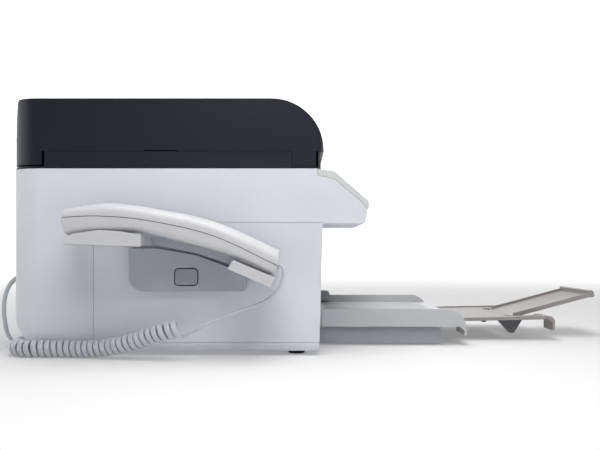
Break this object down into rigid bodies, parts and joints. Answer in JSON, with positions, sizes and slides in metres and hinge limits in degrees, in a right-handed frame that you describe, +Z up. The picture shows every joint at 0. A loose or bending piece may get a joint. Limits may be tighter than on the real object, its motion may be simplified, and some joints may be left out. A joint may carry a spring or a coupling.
{
  "type": "fax machine",
  "caption": "Desktop fax machine with flatbed scanner lid, document feeder, paper cassette with output tray, and a corded handset on a side cradle.",
  "frame": {"origin": "middle of the footprint without the cord, on the surface the machine stands on", "axes": "+Z up, -Y towards the front where the paper comes out, -X towards the handset side"},
  "size_m": [0.459, 0.6637, 0.2492],
  "materials": {
    "shell": "fine satin grain",
    "panel": "fine satin grain",
    "key": "satin",
    "key_red": "satin",
    "key_green": "satin",
    "display": "clear gloss window over a grey green screen",
    "lid_black": "satin gloss, blue black",
    "frame_black": "fine grain, blue black",
    "glass": "polished",
    "pad_white": "smooth white sheet",
    "dark_plastic": "matte",
    "steel": "ground",
    "rubber": "matte",
    "tray": "fine satin grain",
    "cassette": "fine satin grain",
    "handset": "smooth satin",
    "plinth": "fine satin grain",
    "button": "satin",
    "cord": "soft satin PVC",
    "clear_plug": "clear moulded"
  },
  "bodies": {
    "root": {"base_housing": "shell", "left_side_cover": "shell", "jack_panel": "dark_plastic", "power_inlet": "dark_plastic", "foot_rear_left": "rubber", "foot_rear_right": "rubber", "foot_front_left": "rubber", "foot_front_right": "rubber", "control_panel": "panel", "display_window": "display", "carriage_rail": "steel", "cradle_plinth": "plinth", "cradle_bracket": "handset", "scanner_hinge_pin": "steel", "handset_cord_lead": "cord", "handset_cord_coil": "cord", "handset_cord_tail": "cord", "base_plug": "clear_plug"},
    "rear_cover": {"rear_cover": "shell"},
    "scanner": {"scanner_frame": "frame_black", "platen_glass": "glass", "lid_hinge_pin": "steel"},
    "scan_carriage": {"scan_carriage": "dark_plastic"},
    "lid": {"document_cover": "lid_black", "platen_pad": "pad_white"},
    "adf_cover": {"adf_cover": "lid_black"},
    "adf_roller": {"adf_roller": "rubber"},
    "document_guide_rear": {"document_guide_rear": "lid_black"},
    "document_guide_front": {"document_guide_front": "lid_black"},
    "feed_roller": {"feed_roller": "rubber"},
    "print_carriage": {"print_carriage": "dark_plastic"},
    "cassette": {"paper_cassette": "cassette"},
    "paper_guide_left": {"paper_guide_left": "cassette"},
    "paper_guide_right": {"paper_guide_right": "cassette"},
    "output_cover": {"output_cover": "tray"},
    "extension": {"extension_tray": "tray"},
    "support_flap": {"support_flap": "tray"},
    "handset": {"handset_upper_shell": "handset", "handset_lower_shell": "handset", "handset_plug": "clear_plug"},
    "hook_switch": {"hook_switch": "handset"},
    "cradle_button": {"cradle_button": "button"},
    "key_1": {"key_1": "key"},
    "key_2": {"key_2": "key"},
    "key_3": {"key_3": "key"},
    "key_4": {"key_4": "key"},
    "key_5": {"key_5": "key"},
    "key_6": {"key_6": "key"},
    "key_7": {"key_7": "key"},
    "key_8": {"key_8": "key"},
    "key_9": {"key_9": "key"},
    "key_star": {"key_star": "key"},
    "key_0": {"key_0": "key"},
    "key_hash": {"key_hash": "key"},
    "key_mode": {"key_mode": "key"},
    "key_menu": {"key_menu": "key"},
    "key_clear": {"key_clear": "key"},
    "key_stop": {"key_stop": "key_red"},
    "key_start": {"key_start": "key_green"}
  },
  "joints": [
    {"name": "scanner_hinge", "type": "hinge", "parent": "root", "child": "scanner", "pos_m": [0.0295, 0.3153, 0.18145], "axis": [-1, 0, 0], "range_deg": [0, 35]},
    {"name": "lid_hinge", "type": "hinge", "parent": "scanner", "child": "lid", "pos_m": [0.0295, 0.3153, 0.19795], "axis": [-1, 0, 0], "range_deg": [0, 75]},
    {"name": "adf_cover_hinge", "type": "hinge", "parent": "lid", "child": "adf_cover", "pos_m": [-0.138, 0.1743, 0.2492], "axis": [0, -1, 0], "range_deg": [0, 80]},
    {"name": "document_guide_rear_slide", "type": "slide", "parent": "lid", "child": "document_guide_rear", "axis": [0, -1, 0], "range_m": [0, 0.045]},
    {"name": "document_guide_front_slide", "type": "slide", "parent": "lid", "child": "document_guide_front", "axis": [0, 1, 0], "range_m": [0, 0.045]},
    {"name": "adf_roller_spin", "type": "hinge", "parent": "lid", "child": "adf_roller", "pos_m": [-0.0605, 0.1743, 0.2352], "axis": [0, 1, 0], "continuous": true},
    {"name": "scan_carriage_slide", "type": "slide", "parent": "scanner", "child": "scan_carriage", "axis": [1, 0, 0], "range_m": [0, 0.27]},
    {"name": "rear_cover_hinge", "type": "hinge", "parent": "root", "child": "rear_cover", "pos_m": [0.0595, 0.3123, 0.0665], "axis": [-1, 0, 0], "range_deg": [0, 90]},
    {"name": "feed_roller_spin", "type": "hinge", "parent": "root", "child": "feed_roller", "pos_m": [0.0295, 0.2383, 0.058], "axis": [1, 0, 0], "continuous": true},
    {"name": "print_carriage_slide", "type": "slide", "parent": "root", "child": "print_carriage", "axis": [1, 0, 0], "range_m": [-0.15, 0.15]},
    {"name": "cassette_slide", "type": "slide", "parent": "root", "child": "cassette", "axis": [0, -1, 0], "range_m": [0, 0.3]},
    {"name": "paper_guide_left_slide", "type": "slide", "parent": "cassette", "child": "paper_guide_left", "axis": [1, 0, 0], "range_m": [0, 0.045]},
    {"name": "paper_guide_right_slide", "type": "slide", "parent": "cassette", "child": "paper_guide_right", "axis": [-1, 0, 0], "range_m": [0, 0.045]},
    {"name": "output_cover_hinge", "type": "hinge", "parent": "cassette", "child": "output_cover", "pos_m": [0.0295, 0.0043, 0.037], "axis": [-1, 0, 0], "range_deg": [0, 50]},
    {"name": "extension_slide", "type": "slide", "parent": "output_cover", "child": "extension", "axis": [0, 1, 0], "range_m": [0, 0.06]},
    {"name": "support_flap_hinge", "type": "hinge", "parent": "extension", "child": "support_flap", "pos_m": [0.0295, -0.2157, 0.0226], "axis": [-1, 0, 0], "range_deg": [0, 95]},
    {"name": "handset_lift", "type": "slide", "parent": "root", "child": "handset", "axis": [0, 0, 1], "range_m": [0, 0.15]},
    {"name": "hook_switch_press", "type": "slide", "parent": "root", "child": "hook_switch", "axis": [0, 0, -1], "range_m": [0, 0.002], "stiffness_N_per_m": 120},
    {"name": "cradle_button_press", "type": "slide", "parent": "root", "child": "cradle_button", "axis": [1, 0, 0], "range_m": [0, 0.001], "stiffness_N_per_m": 250},
    {"name": "key_1_press", "type": "slide", "parent": "root", "child": "key_1", "axis": [0, 0.6587, -0.7524], "range_m": [0, 0.001], "stiffness_N_per_m": 250},
    {"name": "key_2_press", "type": "slide", "parent": "root", "child": "key_2", "axis": [0, 0.6587, -0.7524], "range_m": [0, 0.001], "stiffness_N_per_m": 250},
    {"name": "key_3_press", "type": "slide", "parent": "root", "child": "key_3", "axis": [0, 0.6587, -0.7524], "range_m": [0, 0.001], "stiffness_N_per_m": 250},
    {"name": "key_4_press", "type": "slide", "parent": "root", "child": "key_4", "axis": [0, 0.6587, -0.7524], "range_m": [0, 0.001], "stiffness_N_per_m": 250},
    {"name": "key_5_press", "type": "slide", "parent": "root", "child": "key_5", "axis": [0, 0.6587, -0.7524], "range_m": [0, 0.001], "stiffness_N_per_m": 250},
    {"name": "key_6_press", "type": "slide", "parent": "root", "child": "key_6", "axis": [0, 0.6587, -0.7524], "range_m": [0, 0.001], "stiffness_N_per_m": 250},
    {"name": "key_7_press", "type": "slide", "parent": "root", "child": "key_7", "axis": [0, 0.6587, -0.7524], "range_m": [0, 0.001], "stiffness_N_per_m": 250},
    {"name": "key_8_press", "type": "slide", "parent": "root", "child": "key_8", "axis": [0, 0.6587, -0.7524], "range_m": [0, 0.001], "stiffness_N_per_m": 250},
    {"name": "key_9_press", "type": "slide", "parent": "root", "child": "key_9", "axis": [0, 0.6587, -0.7524], "range_m": [0, 0.001], "stiffness_N_per_m": 250},
    {"name": "key_star_press", "type": "slide", "parent": "root", "child": "key_star", "axis": [0, 0.6587, -0.7524], "range_m": [0, 0.001], "stiffness_N_per_m": 250},
    {"name": "key_0_press", "type": "slide", "parent": "root", "child": "key_0", "axis": [0, 0.6587, -0.7524], "range_m": [0, 0.001], "stiffness_N_per_m": 250},
    {"name": "key_hash_press", "type": "slide", "parent": "root", "child": "key_hash", "axis": [0, 0.6587, -0.7524], "range_m": [0, 0.001], "stiffness_N_per_m": 250},
    {"name": "key_mode_press", "type": "slide", "parent": "root", "child": "key_mode", "axis": [0, 0.6587, -0.7524], "range_m": [0, 0.001], "stiffness_N_per_m": 250},
    {"name": "key_menu_press", "type": "slide", "parent": "root", "child": "key_menu", "axis": [0, 0.6587, -0.7524], "range_m": [0, 0.001], "stiffness_N_per_m": 250},
    {"name": "key_clear_press", "type": "slide", "parent": "root", "child": "key_clear", "axis": [0, 0.6587, -0.7524], "range_m": [0, 0.001], "stiffness_N_per_m": 250},
    {"name": "key_stop_press", "type": "slide", "parent": "root", "child": "key_stop", "axis": [0, 0.6587, -0.7524], "range_m": [0, 0.001], "stiffness_N_per_m": 250},
    {"name": "key_start_press", "type": "slide", "parent": "root", "child": "key_start", "axis": [0, 0.6587, -0.7524], "range_m": [0, 0.001], "stiffness_N_per_m": 250}
  ],
  "couplings": [
    {"joint": "document_guide_front_slide", "follows": "document_guide_rear_slide", "ratio": 1},
    {"joint": "paper_guide_right_slide", "follows": "paper_guide_left_slide", "ratio": 1}
  ]
}
